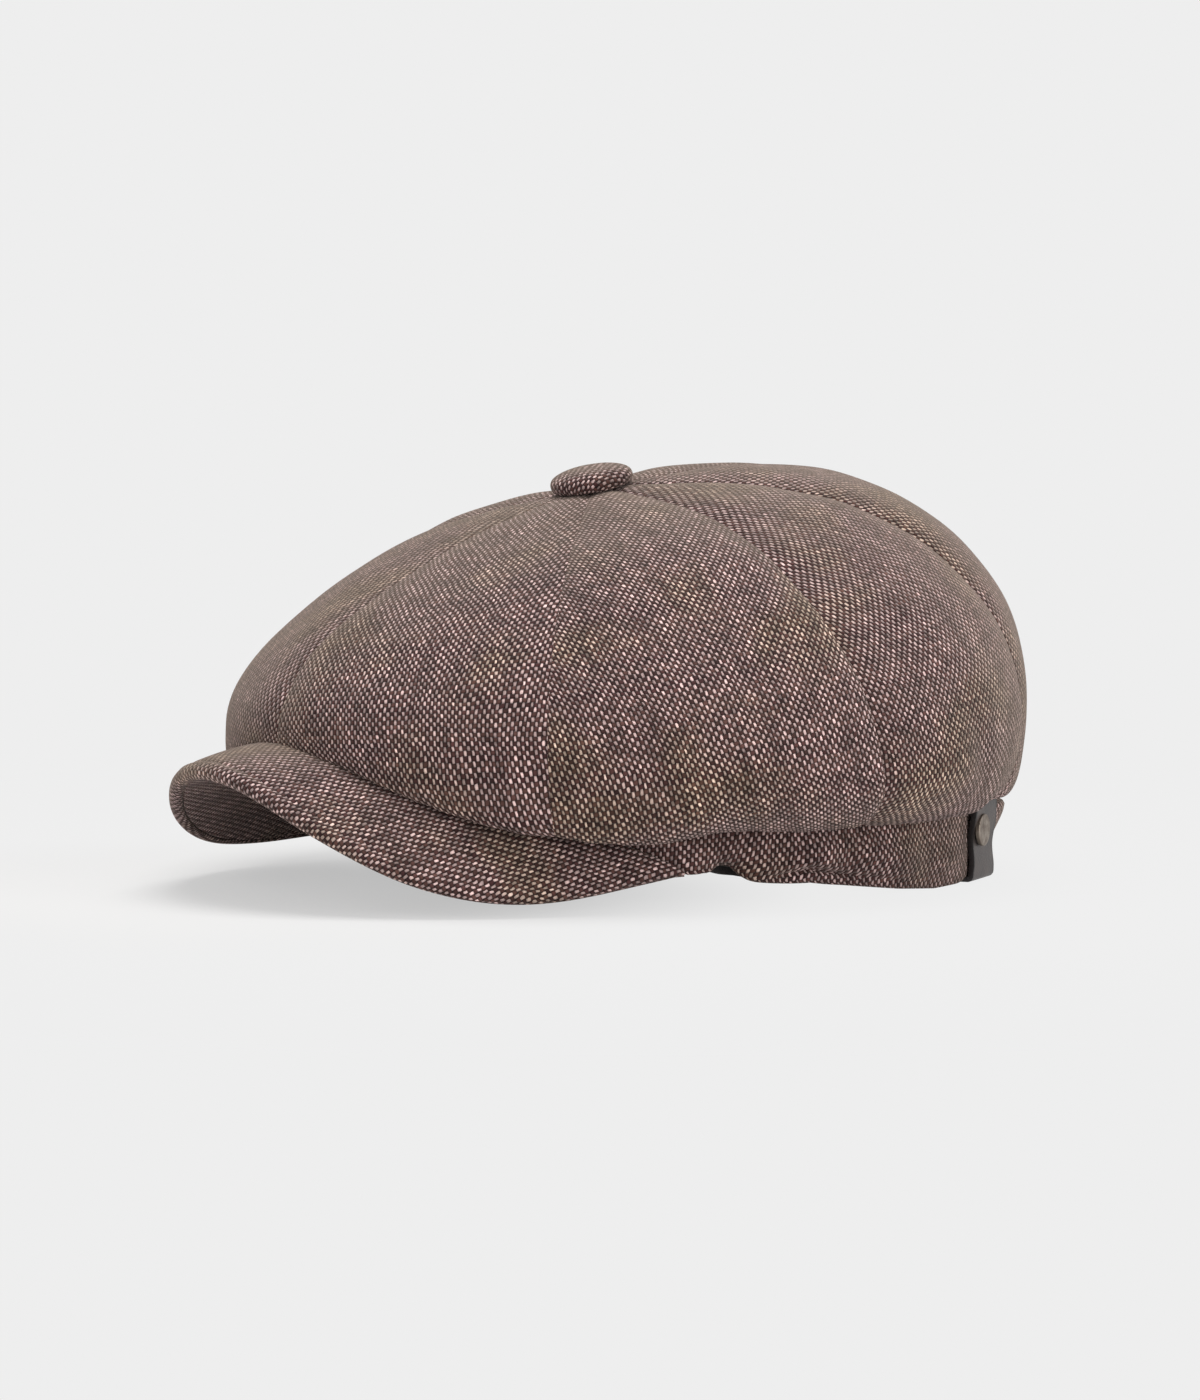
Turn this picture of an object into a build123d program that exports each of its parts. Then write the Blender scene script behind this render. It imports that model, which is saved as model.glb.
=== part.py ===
"""Eight-panel newsboy cap with a covered button, a stiff visor and a riveted leather tab.

Millimetres.  +Z is up, the visor points along -Y and the wearer's left is +X.  The origin
lies on the table, under the centre of the head opening.
"""
import os
from math import cos, hypot, radians, sin

from build123d import *

os.makedirs("parts", exist_ok=True)

# Head opening: the outside of the headband, an ellipse in plan.
band_half_length = 103.2
band_half_width = 87.5

# Cloth, board and leather.
cloth = 1.0
crown_cloth = 1.2
interlining_cloth = 0.8
lining_cloth = 0.6
sweatband_cloth = 1.0
elastic_cloth = 0.8
leather = 1.5
seam_gap = 0.3
layer_gap = 0.1

# Headband: height of its top edge (at the front above the visor's root), and the stretch of
# its lower edge that lies on the table.
band_top_rear = 27.0
band_front_height = 10.0
band_flat_end = 56.0
band_top_bend = -14.0
band_top_power = 1.3
band_top_slope = 0.4
band_lower_slope = 0.35
interlining_drop = 0.5
cut_margin = 10.0

# Visor: where its ends meet the band, its middle, its wings and its thickness.
temple_angle = 67.5
temple_height = 8.3
visor_root_height = 41.0
visor_reach = 39.7
visor_peak_height = 35.6
wing_base = -0.8
visor_board = 1.6
visor_cover = 0.9
visor_end_share = 0.95
visor_sections = 13
visor_roundness = 0.9
visor_arch = 4.1
temple_lift = 24
visor_gap = 0.4

# Crown: how far its widest outline stands out beyond the headband, the height of that
# outline at front, side and rear, and the fold that hides the seam to the headband.
crown_front_overhang = 15.8
crown_rear_overhang = 2.2
crown_side_overhang = 24.0
bulge_over_visor = 7.0
bulge_height_side = 27.0
bulge_height_rear = 56.5
button_place = -17.0
crown_height = 110.0
crown_slope = 0.209
top_reach = (0.53, 0.73, 0.685)
top_drop = (0.37, 0.41, 0.85)
fold_over_visor = 0.5
fold_drop_side = 7.2
fold_drop_rear = 6.0
seam_over_visor = 6.0
seam_drop_side = 3.5
seam_drop_rear = 4.0
fold_depth = (0.95, 0.55, 0.6)
fold_width = (0.75, 0.35, 0.4)
fold_dip = 0.3
front_sharpness = 3
sections_per_panel = 4
stem_room = 1.7

# Lining, sweatband and elastic.
lining_insets = (9.0, 4.0, 4.0)
lining_lifts = (6.0, 11.0, 8.0)
lining_drop = 3.6
lining_waist = 0.6
lining_foot = 0.3
sweatband_rise = 0.6
sweatband_drop = 1.0
hem_height = 2.4
elastic_width = 12.0
elastic_length = 84.0
elastic_rise = 7.0

# Covered button.
button_diameter = 24.4
button_thickness = 6.8
button_corner = 2.4
button_cloth = 0.9
button_shell = 0.6
button_back_thickness = 1.0
stem_diameter = 2.6
button_cover_opening = 14.0
shell_opening = 18.0
washer_diameter = 14.0
washer_thickness = 0.8

# Leather tab and its rivet.
tab_angle = 134.0
tab_width = 16.0
tab_outer_height = 19.0
tab_inner_height = 18.0
rivet_height = 13.0
rivet_cap_diameter = 9.0
rivet_cap_height = 1.6
rivet_cap_round = 0.9
rivet_post_diameter = 2.4
rivet_back_diameter = 7.0
rivet_back_height = 0.8

temple_x = band_half_width * sin(radians(temple_angle))
temple_y = -band_half_length * cos(radians(temple_angle))
visor_thickness = visor_board + 2 * visor_cover
wing_height = visor_thickness / 2 + wing_base
band_top_front = visor_root_height + band_front_height
crown_front = band_half_length + crown_front_overhang
crown_rear = band_half_length + crown_rear_overhang
crown_half_width = band_half_width + crown_side_overhang
crown_hole = stem_diameter / 2 + stem_room
bulge_heights = (visor_root_height + bulge_over_visor, bulge_height_side, bulge_height_rear)
fold_heights = (
    visor_root_height + fold_over_visor,
    band_top_rear - fold_drop_side,
    band_top_rear - fold_drop_rear,
)
seam_heights = (
    visor_root_height + seam_over_visor,
    band_top_rear - seam_drop_side,
    band_top_rear - seam_drop_rear,
)


def around(turn, values, sharpness=2):
    """Value at a turn from the front (0) by the side (90) to the rear (180)."""
    front, side, rear = values
    toward = cos(radians(turn))
    if toward > 0:
        return side + (front - side) * toward**sharpness
    return side + (rear - side) * toward**2


def visor_plane_height(y):
    """Height of the sloping plane that holds the whole visor seam."""
    share = (temple_y - y) / (temple_y + band_half_length)
    return temple_height + (visor_root_height - temple_height) * share


def crown_direction(turn):
    """Unit direction from the button axis to the crown's widest outline, and its length."""
    reach = crown_front if cos(radians(turn)) > 0 else crown_rear
    x = crown_half_width * sin(radians(turn))
    y = -reach * cos(radians(turn)) - button_place
    length = hypot(x, y)
    return x / length, y / length, length


def band_distance(dx, dy, inset=0.0):
    """Distance from the button axis to the headband's outer face, less an inset."""
    length = band_half_length - inset
    width = band_half_width - inset
    a = (dx / width) ** 2 + (dy / length) ** 2
    b = 2 * dy * button_place / length**2
    c = (button_place / length) ** 2 - 1
    return (-b + (b * b - 4 * a * c) ** 0.5) / (2 * a)


def meridian_plane(dx, dy):
    """Upright plane through the button axis, with its own x pointing outwards."""
    return Plane(origin=(0, button_place, 0), x_dir=(dx, dy, 0), z_dir=(dy, -dx, 0))


def crown_section(turn, depth):
    """Control points of one crown meridian at a depth below the outer face."""
    dx, dy, reach = crown_direction(turn)
    widest = around(turn, bulge_heights)
    fold = around(turn, fold_heights, front_sharpness)
    end = around(turn, seam_heights, front_sharpness)
    seat = band_distance(dx, dy) + seam_gap
    top = crown_height - depth + crown_slope * dy * crown_hole
    shoulder = around(turn, top_reach) * reach
    brow = widest + around(turn, top_drop) * (crown_height - widest)
    down = widest - around(turn, fold_depth) * (widest - fold)
    tuck = seat + around(turn, fold_width) * (reach - seat)
    low = fold - fold_dip * (end - fold)
    upper = [
        (crown_hole, top),
        (shoulder, crown_height - depth + crown_slope * dy * shoulder),
        (reach - depth, brow),
        (reach - depth, widest),
    ]
    lower = [
        (reach - depth, widest),
        (reach - depth, down + depth / 2),
        (tuck, low + depth),
        (seat, end + depth),
    ]
    return upper, lower


def turns_between(first, last):
    step = (last - first) / sections_per_panel
    return [first + step * i for i in range(sections_per_panel + 1)]


def gore(first, last, section, thickness):
    """One gore between two turns: a loft of thin strips in upright planes through the button."""
    with BuildPart() as panel:
        for turn in turns_between(first, last):
            dx, dy, _ = crown_direction(turn)
            upper, lower = section(turn, 0.0)
            upper_inside, lower_inside = section(turn, thickness)
            with BuildSketch(meridian_plane(dx, dy)):
                with BuildLine():
                    Bezier(*upper)
                    Bezier(*lower)
                    Line(lower[-1], lower_inside[-1])
                    Bezier(*reversed(lower_inside))
                    Bezier(*reversed(upper_inside))
                    Line(upper_inside[0], upper[0])
                make_face()
        loft()
    return panel.part


def lining_section(turn, depth):
    """Control points of one lining meridian, hung inside the crown to the band's top."""
    dx, dy, reach = crown_direction(turn)
    widest = around(turn, bulge_heights) + around(turn, lining_lifts)
    side = reach - crown_cloth - around(turn, lining_insets) - depth
    ceiling = crown_height - crown_cloth - lining_drop - depth
    shoulder = around(turn, top_reach) * side
    brow = widest + around(turn, top_drop) * (ceiling - widest)
    seat = band_distance(dx, dy, cloth + interlining_cloth + seam_gap + depth)
    foot = band_top_height(button_place + dy * seat) + seam_gap
    upper = [
        (crown_hole / 2, ceiling + crown_slope * dy * crown_hole / 2),
        (shoulder, ceiling + crown_slope * dy * shoulder),
        (side, brow),
        (side, widest),
    ]
    lower = [
        (side, widest),
        (side, widest - (widest - foot) * lining_waist + depth),
        (seat, foot + (widest - foot) * lining_foot + depth),
        (seat, foot),
    ]
    return upper, lower


def band_top_height(y):
    """Height of the headband's top edge at a place along the cap."""
    if y > band_top_bend:
        return band_top_rear
    share = (band_top_bend - y) / (band_top_bend + band_half_length)
    return band_top_rear + (band_top_front - band_top_rear) * share**band_top_power


def lower_edge():
    """Side view of the lower edge: flat at the rear, rising to the temples and the visor."""
    rear = band_half_length + cut_margin
    front = -band_half_length - cut_margin
    temple = (temple_y, temple_height - visor_thickness / 2)
    tip = (front, visor_plane_height(front) - visor_thickness / 2)
    return rear, temple, tip


def band_ring(inset, thickness, rise=0.0, drop=0.0, height=None):
    """Ring of cloth at an inset from the headband's face, cut to the side view of the band.

    It stands a rise above the lower edge, and ends a drop below the band's top edge, or a
    given height above the lower edge.
    """
    rear, temple, tip = lower_edge()
    top = band_top_rear - drop
    front_top = band_top_front - drop
    with BuildPart() as ring:
        with BuildSketch():
            Ellipse(band_half_width - inset, band_half_length - inset)
            Ellipse(
                band_half_width - inset - thickness,
                band_half_length - inset - thickness,
                mode=Mode.SUBTRACT,
            )
        extrude(amount=2 * band_top_front)
        with BuildSketch(Plane.YZ):
            with BuildLine():
                Line((rear, rise), (band_flat_end, rise))
                Spline(
                    (band_flat_end, rise),
                    (temple[0], temple[1] + rise),
                    tangents=((-1, 0), (-1, band_lower_slope)),
                )
                Line((temple[0], temple[1] + rise), (tip[0], tip[1] + rise))
                if height is None:
                    Line((tip[0], tip[1] + rise), (tip[0], front_top))
                    Line((tip[0], front_top), (-band_half_length, front_top))
                    Spline(
                        (-band_half_length, front_top),
                        (band_top_bend, top),
                        tangents=((1, -band_top_slope), (1, 0)),
                    )
                    Line((band_top_bend, top), (rear, top))
                    Line((rear, top), (rear, rise))
                else:
                    Line((tip[0], tip[1] + rise), (tip[0], tip[1] + height))
                    Line((tip[0], tip[1] + height), (temple[0], temple[1] + height))
                    Spline(
                        (temple[0], temple[1] + height),
                        (band_flat_end, height),
                        tangents=((1, -band_lower_slope), (1, 0)),
                    )
                    Line((band_flat_end, height), (rear, height))
                    Line((rear, height), (rear, rise))
            make_face()
        extrude(amount=2 * band_half_width, both=True, mode=Mode.INTERSECT)
    return ring.part


def save(part, name):
    part.label = name
    export_step(part, f"parts/{name}.step")
    print(f"{name}: {len(part.solids())} solid, {part.volume:.0f} mm3")


# ---------------------------------------------------------------- crown, in eight gores
half_panels = ("front", "temple", "side", "rear")
panel_step = 180 / len(half_panels)
for index, place in enumerate(half_panels):
    first = index * panel_step
    left = gore(first, first + panel_step, crown_section, crown_cloth)
    save(left, f"crown_panel_{place}_left")
    save(mirror(left, about=Plane.YZ), f"crown_panel_{place}_right")

# ---------------------------------------------------------------- lining, in four gores
lining_step = 2 * panel_step
for place, first in (("front", 0.0), ("rear", lining_step)):
    left = gore(first, first + lining_step, lining_section, lining_cloth)
    save(left, f"lining_{place}_left")
    save(mirror(left, about=Plane.YZ), f"lining_{place}_right")

# ---------------------------------------------------------------- tab and rivet seat
tab_x = band_half_width * sin(radians(tab_angle))
tab_y = -band_half_length * cos(radians(tab_angle))
normal_x = tab_x / band_half_width**2
normal_y = tab_y / band_half_length**2
normal_size = hypot(normal_x, normal_y)
normal_x = normal_x / normal_size
normal_y = normal_y / normal_size
tab_section = Plane(
    origin=(tab_x, tab_y, 0), x_dir=(normal_x, normal_y, 0), z_dir=(normal_y, -normal_x, 0)
)

interlining_inset = cloth + layer_gap
elastic_inset = interlining_inset + interlining_cloth + layer_gap
sweatband_inset = elastic_inset + elastic_cloth + layer_gap
wall = sweatband_inset + sweatband_cloth
tab_sag = (tab_width / 2) ** 2 / (2 * band_half_width)
tab_clear = seam_gap + tab_sag


def rivet_plane(distance):
    """Plane across the rivet, at a distance outside the headband's face."""
    origin = (tab_x + normal_x * distance, tab_y + normal_y * distance, rivet_height)
    return Plane(origin=origin, x_dir=(-normal_y, normal_x, 0), z_dir=(normal_x, normal_y, 0))


with BuildPart() as tab_room:
    # What the layers of the band give up to the folded tab and to the rivet's post.
    with BuildSketch(tab_section):
        with Locations((-wall / 2, 0)):
            Rectangle(2 * wall, 2 * (leather + seam_gap))
    extrude(amount=tab_width / 2 + seam_gap, both=True)
    with BuildSketch(rivet_plane(0)):
        Circle(rivet_post_diameter / 2 + layer_gap)
    extrude(amount=2 * wall, both=True)

# ---------------------------------------------------------------- headband and its layers
outer_band = band_ring(0.0, cloth) - tab_room.part
for side, half in (("left", Keep.TOP), ("right", Keep.BOTTOM)):
    with BuildPart() as headband:
        add(outer_band)
        split(bisect_by=Plane.YZ, keep=half)
    save(headband.part, f"headband_{side}")

with BuildPart() as interlining:
    hem_top = hem_height + seam_gap
    add(band_ring(interlining_inset, interlining_cloth, rise=hem_top, drop=interlining_drop))
    add(tab_room.part, mode=Mode.SUBTRACT)
save(interlining.part, "band_interlining")

with BuildPart() as sweatband:
    add(band_ring(sweatband_inset, sweatband_cloth, rise=sweatband_rise, drop=sweatband_drop))
    hem_cloth = sweatband_inset - interlining_inset + layer_gap
    add(band_ring(interlining_inset, hem_cloth, rise=sweatband_rise, height=hem_height))
    add(tab_room.part, mode=Mode.SUBTRACT)
save(sweatband.part, "sweatband")

with BuildPart() as elastic:
    with BuildSketch(Plane.XY.offset(elastic_rise)):
        Ellipse(band_half_width - elastic_inset, band_half_length - elastic_inset)
        Ellipse(
            band_half_width - elastic_inset - elastic_cloth,
            band_half_length - elastic_inset - elastic_cloth,
            mode=Mode.SUBTRACT,
        )
    extrude(amount=elastic_width)
    with BuildSketch(Plane.XY.offset(elastic_rise)):
        with Locations((0, band_half_length)):
            Rectangle(elastic_length, band_half_length)
    extrude(amount=elastic_width, mode=Mode.INTERSECT)
save(elastic.part, "rear_elastic")

# ---------------------------------------------------------------- leather tab and rivet
with BuildPart() as tab:
    outer_face = tab_clear + leather
    inner_face = -wall - tab_clear - leather
    with BuildSketch(tab_section):
        with BuildLine():
            Polyline(
                (outer_face, tab_outer_height),
                (outer_face, 0),
                (inner_face, 0),
                (inner_face, tab_inner_height),
                (inner_face + leather, tab_inner_height),
                (inner_face + leather, leather),
                (outer_face - leather, leather),
                (outer_face - leather, tab_outer_height),
                close=True,
            )
        make_face()
        bends = [corner for corner in vertices() if abs(corner.Y) < 0.01]
        fillet(bends, radius=leather)
    extrude(amount=tab_width / 2, both=True)
    with BuildSketch(rivet_plane(outer_face)):
        Circle(rivet_post_diameter / 2 + layer_gap)
    extrude(amount=inner_face - outer_face, mode=Mode.SUBTRACT)
save(tab.part, "leather_tab")

with BuildPart() as rivet_cap:
    with BuildSketch(rivet_plane(outer_face)):
        Circle(rivet_cap_diameter / 2)
    extrude(amount=rivet_cap_height)
    outwards = Axis((0, 0, 0), (normal_x, normal_y, 0))
    fillet(rivet_cap.faces().sort_by(outwards)[-1].edges(), rivet_cap_round)
    with BuildSketch(rivet_plane(outer_face)):
        Circle(rivet_post_diameter / 2)
    extrude(amount=inner_face - outer_face)
save(rivet_cap.part, "tab_rivet_cap")

with BuildPart() as rivet_back:
    with BuildSketch(rivet_plane(inner_face)):
        Circle(rivet_back_diameter / 2)
    extrude(amount=-rivet_back_height)
save(rivet_back.part, "tab_rivet_back")

# ---------------------------------------------------------------- visor
peak_y = -band_half_length - visor_reach


def visor_ends(share):
    """Root and edge of the visor at a share from the right temple (-1) to the left (1)."""
    root_turn = radians(share * temple_angle)
    edge_turn = radians(share * 90)
    root_x = (band_half_width + visor_gap) * sin(root_turn)
    root_y = -(band_half_length + visor_gap) * cos(root_turn)
    root_z = visor_plane_height(-band_half_length * cos(root_turn))
    ahead = cos(edge_turn)
    aside = abs(sin(edge_turn))
    edge_x = temple_x * sin(edge_turn)
    edge_y = temple_y + (peak_y - temple_y) * ahead**visor_roundness
    edge_z = wing_height + (visor_peak_height - wing_height) * ahead**visor_arch
    edge_z = edge_z + (temple_height - wing_height) * aside**temple_lift
    return (root_x, root_y, root_z), (edge_x, edge_y, edge_z)


def visor_layer(outline):
    """Loft of one visor layer; outline gives its corners from width, root and edge heights."""
    with BuildPart() as layer:
        for step in range(visor_sections):
            share = visor_end_share * (2 * step / (visor_sections - 1) - 1)
            root, edge = visor_ends(share)
            width = hypot(edge[0] - root[0], edge[1] - root[1])
            dx = (edge[0] - root[0]) / width
            dy = (edge[1] - root[1]) / width
            lean = hypot(width, edge[2] - root[2]) / width
            place = Plane(origin=(root[0], root[1], 0), x_dir=(dx, dy, 0), z_dir=(dy, -dx, 0))
            with BuildSketch(place):
                with BuildLine():
                    Polyline(*outline(width, root[2], edge[2], lean), close=True)
                make_face()
        loft()
    return layer.part


def board_outline(width, root, edge, lean):
    half = visor_board / 2 * lean
    rim = width - visor_cover
    return (0, root - half), (rim, edge - half), (rim, edge + half), (0, root + half)


def top_outline(width, root, edge, lean):
    half = visor_board / 2 * lean
    full = visor_thickness / 2 * lean
    rim = width - visor_cover
    return (
        (0, root + half),
        (rim, edge + half),
        (rim, edge - full),
        (width, edge - full),
        (width, edge + full),
        (0, root + full),
    )


def under_outline(width, root, edge, lean):
    half = visor_board / 2 * lean
    full = visor_thickness / 2 * lean
    rim = width - visor_cover
    return (0, root - full), (rim, edge - full), (rim, edge - half), (0, root - half)


save(visor_layer(board_outline), "visor_board")
save(visor_layer(top_outline), "visor_top_cover")
save(visor_layer(under_outline), "visor_under_cover")

# ---------------------------------------------------------------- covered button
button_section = Plane(
    origin=(0, button_place, crown_height), x_dir=(1, 0, 0), z_dir=(0, -1, -crown_slope)
)
button_axis = Axis((0, button_place, crown_height), (0, -crown_slope, 1))
button_radius = button_diameter / 2
button_top = seam_gap + button_thickness


def pill_line(inset, start):
    """Right half of the button's outline, from a start on its underside to its top."""
    low = seam_gap + inset
    side = button_radius - inset
    corner = button_corner - inset
    Line((start, low), (side - corner, low))
    RadiusArc((side - corner, low), (side, low + corner), -corner)
    Spline((side, low + corner), (0, button_top - inset), tangents=((0, 1), (-1, 0)))


with BuildPart() as button_cover:
    with BuildSketch(button_section):
        with BuildLine():
            pill_line(0.0, button_cover_opening / 2)
            pill_line(button_cloth, button_cover_opening / 2)
            edge = button_cover_opening / 2
            Line((edge, seam_gap), (edge, seam_gap + button_cloth))
            Line((0, button_top), (0, button_top - button_cloth))
        make_face()
    revolve(axis=button_axis)
save(button_cover.part, "button_cover")

shell_inset = button_cloth + layer_gap
shell_edge = shell_opening / 2
with BuildPart() as shell:
    with BuildSketch(button_section):
        with BuildLine():
            pill_line(shell_inset, shell_edge)
            pill_line(shell_inset + button_shell, shell_edge)
            low = seam_gap + shell_inset
            Line((shell_edge, low), (shell_edge, low + button_shell))
            Line((0, button_top - shell_inset), (0, button_top - shell_inset - button_shell))
        make_face()
    revolve(axis=button_axis)
save(shell.part, "button_shell")

stem_end = -crown_cloth - seam_gap - washer_thickness - seam_gap
with BuildPart() as button_back:
    back_low = seam_gap + shell_inset + button_shell + layer_gap
    back_radius = button_radius - shell_inset - button_shell - layer_gap - button_corner / 2
    with BuildSketch(button_section):
        with BuildLine():
            Polyline(
                (0, back_low + button_back_thickness),
                (back_radius, back_low + button_back_thickness),
                (back_radius, back_low),
                (stem_diameter / 2, back_low),
                (stem_diameter / 2, stem_end),
                (stem_diameter, stem_end),
                (stem_diameter, stem_end - washer_thickness),
                (0, stem_end - washer_thickness),
                close=True,
            )
        make_face()
    revolve(axis=button_axis)
save(button_back.part, "button_back")

with BuildPart() as washer:
    with BuildSketch(button_section):
        with Locations(((washer_diameter + stem_diameter) / 4 + layer_gap / 2, stem_end + seam_gap)):
            Rectangle(
                (washer_diameter - stem_diameter) / 2 - layer_gap,
                washer_thickness,
                align=(Align.CENTER, Align.MIN),
            )
    revolve(axis=button_axis)
save(washer.part, "button_washer")
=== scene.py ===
"""An eight-panel newsboy cap in coarse tweed, built round the frame of its CAD model.

Metres.  The visor points along -Y, the wearer's left is +X, and the cap stands on z = 0.
A turn is an angle seen from above: 0 at the front, 90 at the wearer's left, 180 at the rear.
"""

import bpy
import numpy as np
from mathutils import Matrix, Vector, noise


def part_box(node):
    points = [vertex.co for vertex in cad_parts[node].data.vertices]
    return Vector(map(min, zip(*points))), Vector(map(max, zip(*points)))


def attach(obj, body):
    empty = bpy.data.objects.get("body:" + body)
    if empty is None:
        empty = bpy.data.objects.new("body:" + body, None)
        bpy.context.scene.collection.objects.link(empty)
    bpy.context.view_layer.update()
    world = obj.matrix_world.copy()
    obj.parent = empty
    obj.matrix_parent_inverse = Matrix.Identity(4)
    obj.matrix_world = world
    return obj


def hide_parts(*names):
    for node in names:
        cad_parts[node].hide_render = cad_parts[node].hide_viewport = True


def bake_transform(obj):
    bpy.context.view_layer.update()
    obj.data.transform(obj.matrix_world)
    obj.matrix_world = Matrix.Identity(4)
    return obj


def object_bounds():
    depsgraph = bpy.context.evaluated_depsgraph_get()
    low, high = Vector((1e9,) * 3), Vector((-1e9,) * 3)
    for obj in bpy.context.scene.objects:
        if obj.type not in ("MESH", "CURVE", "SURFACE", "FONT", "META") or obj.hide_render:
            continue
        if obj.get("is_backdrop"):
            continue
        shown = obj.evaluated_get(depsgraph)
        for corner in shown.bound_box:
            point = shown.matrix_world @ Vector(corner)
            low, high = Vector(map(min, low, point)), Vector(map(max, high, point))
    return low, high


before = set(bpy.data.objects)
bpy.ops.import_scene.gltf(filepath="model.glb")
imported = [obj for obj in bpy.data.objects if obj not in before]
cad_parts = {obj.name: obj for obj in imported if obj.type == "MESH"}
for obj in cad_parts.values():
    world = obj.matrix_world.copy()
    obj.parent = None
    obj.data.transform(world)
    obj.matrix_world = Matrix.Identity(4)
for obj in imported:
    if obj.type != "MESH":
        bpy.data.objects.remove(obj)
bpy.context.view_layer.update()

# ------------ crown
# Eight leaf-shaped gores of coarse tweed, sewn edge to edge from the button down and gathered
# under to the headband.  The cloth is a plain weave: pale rose-beige warp over dark brown
# weft, unevenly spun, so that it drifts from plum to olive.  Each gore is a little full.
button_place = -0.017
crown_height = 0.110
crown_slope = 0.209
button_hole = 0.003
crown_cloth = 0.0012
crown_spread = (0.0009, 0.0004, 0.0015)
bulge_heights = (0.0466, 0.0371, 0.0571)
top_reach = (0.597, 0.677, 0.670)
top_drop = (0.300, 0.389, 0.852)
fold_front = 0.0401
fold_low = 0.0127
fold_sharpness = 6.3
fold_rise = 0.0050
fold_sag = 0.0021
fold_tab_rise = 0.0034
seam_heights = (0.047, 0.0235, 0.0255)
seam_sweep = 9.5
fold_depth = (1.00, 0.52, 0.95)
fold_width = (1.23, 0.12, 0.85)
fold_dip = 0.206
seam_gap = 0.0003
gore_angle = 45.0
gore_columns = 37
upper_rows = 72
lower_rows = 44
gore_fullness = 0.0009
gore_draw = 0.0009
seam_valley = 0.0009
seam_valley_width = 0.0050
seam_tuck = 0.0004
seam_tuck_width = 0.0009
front_seam_pressed = 0.65
pressed_breadth = 14.0
gather_depth = 0.0003
gathers_per_degree = 1.3
crown_waves = ((0.0012, 0.045, 3.0), (0.0005, 0.018, 11.0))
crown_middle_reach = 0.11
grain = {"front": 7.0, "temple": 11.0, "side": 2.0, "rear": -5.0}

front_reach = -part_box("crown_panel_front_left")[0].y
rear_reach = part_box("crown_panel_rear_left")[1].y
side_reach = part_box("crown_panel_temple_left")[1].x
band_half_width, band_half_length, band_top_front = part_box("headband_left")[1]

warp_pitch = 0.00110
weft_pitch = 0.00121
warp_half = 0.35
weft_half = 0.50
yarn_lean = -0.10
pale_yarn = (0.67, 0.52, 0.48, 1.0)
pale_yarn_grey = (0.42, 0.325, 0.30, 1.0)
dark_yarn = (0.054, 0.022, 0.021, 1.0)
dark_yarn_warm = (0.090, 0.046, 0.037, 1.0)
plum_cast = (0.94, 0.87, 0.90, 1.0)
olive_cast = (0.90, 0.87, 0.74, 1.0)
# Colour of the painted sheen where the tweed is seen edge-on.
painted_fuzz_sheen_colour = (0.218, 0.172, 0.131, 1.0)


class Signal:
    """A shader node's output, with arithmetic that adds the math nodes it needs."""

    def __init__(self, socket):
        self.socket, self.tree = socket, socket.id_data

    def __add__(self, other):
        return calc("ADD", self, other)

    def __sub__(self, other):
        return calc("SUBTRACT", self, other)

    def __rsub__(self, other):
        return calc("SUBTRACT", other, self)

    def __mul__(self, other):
        return calc("MULTIPLY", self, other)

    def __truediv__(self, other):
        return calc("DIVIDE", self, other)

    def __abs__(self):
        return calc("ABSOLUTE", self)


def wire(socket, value):
    """Gives a socket its value: a number, a colour or a signal."""
    if isinstance(value, Signal):
        value.tree.links.new(value.socket, socket)
    else:
        socket.default_value = value


def new_node(tree, kind, values=(), output=0, **settings):
    """Output of a shader node that has values for its inputs, in order or by name."""
    node = tree.nodes.new("ShaderNode" + kind)
    for setting, value in settings.items():
        setattr(node, setting, value)
    for label, value in values.items() if isinstance(values, dict) else enumerate(values):
        wire(node.inputs[label], value)
    return Signal(node.outputs[output])


def calc(operation, *values):
    """Result of a math node."""
    tree = next(value.tree for value in values if isinstance(value, Signal))
    return new_node(tree, "Math", values, operation=operation)


def mix(share, first, second, blend="MIX"):
    """Colour mix of first and second."""
    tree = next(value.tree for value in (share, first, second) if isinstance(value, Signal))
    values = {0: share, 6: first, 7: second}
    return new_node(tree, "Mix", values, 2, data_type="RGBA", blend_type=blend)


def shade(colour, tone):
    """Colour made darker or lighter by a tone."""
    return mix(1.0, colour, new_node(tone.tree, "CombineColor", (tone, tone, tone)), "MULTIPLY")


def fade(value, low, high):
    """0 below low, 1 above high and a smooth step between."""
    return new_node(value.tree, "MapRange", (value, low, high), interpolation_type="SMOOTHSTEP")


def speckle(place, scale, detail=2.0):
    """Noise from 0 to 1 whose features are about 1 / scale metres."""
    values = {"Vector": place, "Scale": scale, "Detail": detail}
    return new_node(place.tree, "TexNoise", values, "Fac")


def lot(number):
    """A draw from 0 to 1 that is the same for the same number."""
    return new_node(number.tree, "TexWhiteNoise", {"W": number}, "Value", noise_dimensions="1D")


def split(place):
    """The three coordinates of a place."""
    return [new_node(place.tree, "SeparateXYZ", (place,), axis) for axis in range(3)]


plain_weave = bpy.data.node_groups.new("Plain weave", "ShaderNodeTree")
plain_weave.interface.new_socket("Place", in_out="INPUT", socket_type="NodeSocketVector")
for label in ("Warp pitch", "Weft pitch", "Slack"):
    plain_weave.interface.new_socket(label, in_out="INPUT", socket_type="NodeSocketFloat")
for label in ("Warp on top", "Height", "Warp number", "Weft number"):
    plain_weave.interface.new_socket(label, in_out="OUTPUT", socket_type="NodeSocketFloat")


def thread_height(along, off_centre, over, radius):
    """Height of one set of threads: they rise where over is 1 and dip where it is -1."""
    rise = calc("COSINE", along * np.pi) * over
    side = calc("POWER", abs(off_centre) / radius, 2.0)
    return rise * 0.6 + calc("SQRT", calc("MAXIMUM", 1.0 - side, 0.0))


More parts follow.
